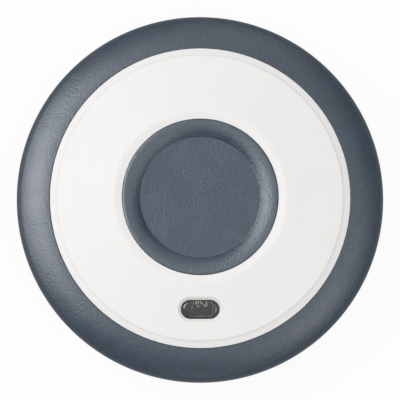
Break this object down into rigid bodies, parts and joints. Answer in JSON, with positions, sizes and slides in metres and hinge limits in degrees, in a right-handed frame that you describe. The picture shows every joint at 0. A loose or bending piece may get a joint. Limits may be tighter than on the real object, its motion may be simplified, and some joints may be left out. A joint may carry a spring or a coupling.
{
  "type": "wireless panic button",
  "caption": "Round wearable panic button: soft thumb dish in a pale ring with a status window, soft dark grip, coin-cell door in the flat back.",
  "frame": {"origin": "centre of the flat back, where the part rests", "axes": "+Z out of the pressed face, the status window lies towards -Y, +X to the right as one looks at the face"},
  "size_m": [0.04, 0.04, 0.0125],
  "materials": {
    "pale_shell": "satin",
    "soft_grip": "fine grained, soft touch",
    "soft_button": "fine grained, soft touch",
    "dark_plastic": "moulded",
    "smoky_window": "smoky clear",
    "seal_rubber": "smooth",
    "circuit_laminate": "solder resist",
    "switch_plunger_plastic": "moulded",
    "tinned_metal": "tinned",
    "led_package": "moulded",
    "chip_package": "moulded",
    "capacitor_package": "moulded",
    "passive_package": "ceramic",
    "aerial_wire": "enamelled copper",
    "contact_metal": "plated spring metal",
    "cell_steel": "nickel plated",
    "cell_seal": "moulded",
    "cell_pellet": "pressed powder",
    "rear_shell": "finely eroded",
    "screw_steel": "zinc plated"
  },
  "bodies": {
    "housing": {"front_housing": "pale_shell", "rim_grip": "soft_grip", "button_skirt": "soft_button", "light_pipe": "smoky_window", "housing_gasket": "seal_rubber", "circuit_board": "circuit_laminate", "switch_base": "dark_plastic", "switch_cover": "tinned_metal", "switch_dome": "tinned_metal", "switch_terminals": "tinned_metal", "indicator_led": "led_package", "radio_chip": "chip_package", "crystal": "tinned_metal", "reservoir_capacitor": "capacitor_package", "passive_parts": "passive_package", "antenna": "aerial_wire", "positive_contacts": "contact_metal", "negative_contact": "contact_metal", "battery_can": "cell_steel", "battery_seal": "cell_seal", "battery_cap": "cell_steel", "battery_pellets": "cell_pellet", "rear_housing": "rear_shell", "housing_screws": "screw_steel"},
    "button": {"button_pad": "soft_button", "button_island": "dark_plastic"},
    "switch": {"switch_plunger": "switch_plunger_plastic"},
    "door": {"battery_door": "rear_shell", "door_seal": "seal_rubber"}
  },
  "joints": [
    {"name": "button_press", "type": "slide", "parent": "housing", "child": "button", "axis": [0, 0, -1], "range_m": [0, 0.0003], "stiffness_N_per_m": 4000, "deforming": ["button_skirt"]},
    {"name": "switch_press", "type": "slide", "parent": "housing", "child": "switch", "axis": [0, 0, -1], "range_m": [0, 0.00045], "deforming": ["switch_dome"]},
    {"name": "door_twist", "type": "hinge", "parent": "housing", "child": "door", "pos_m": [0, 0, 0], "axis": [0, 0, -1], "range_deg": [0, 45]}
  ],
  "couplings": [
    {"joint": "switch_press", "follows": "button_press", "ratio": 1}
  ]
}
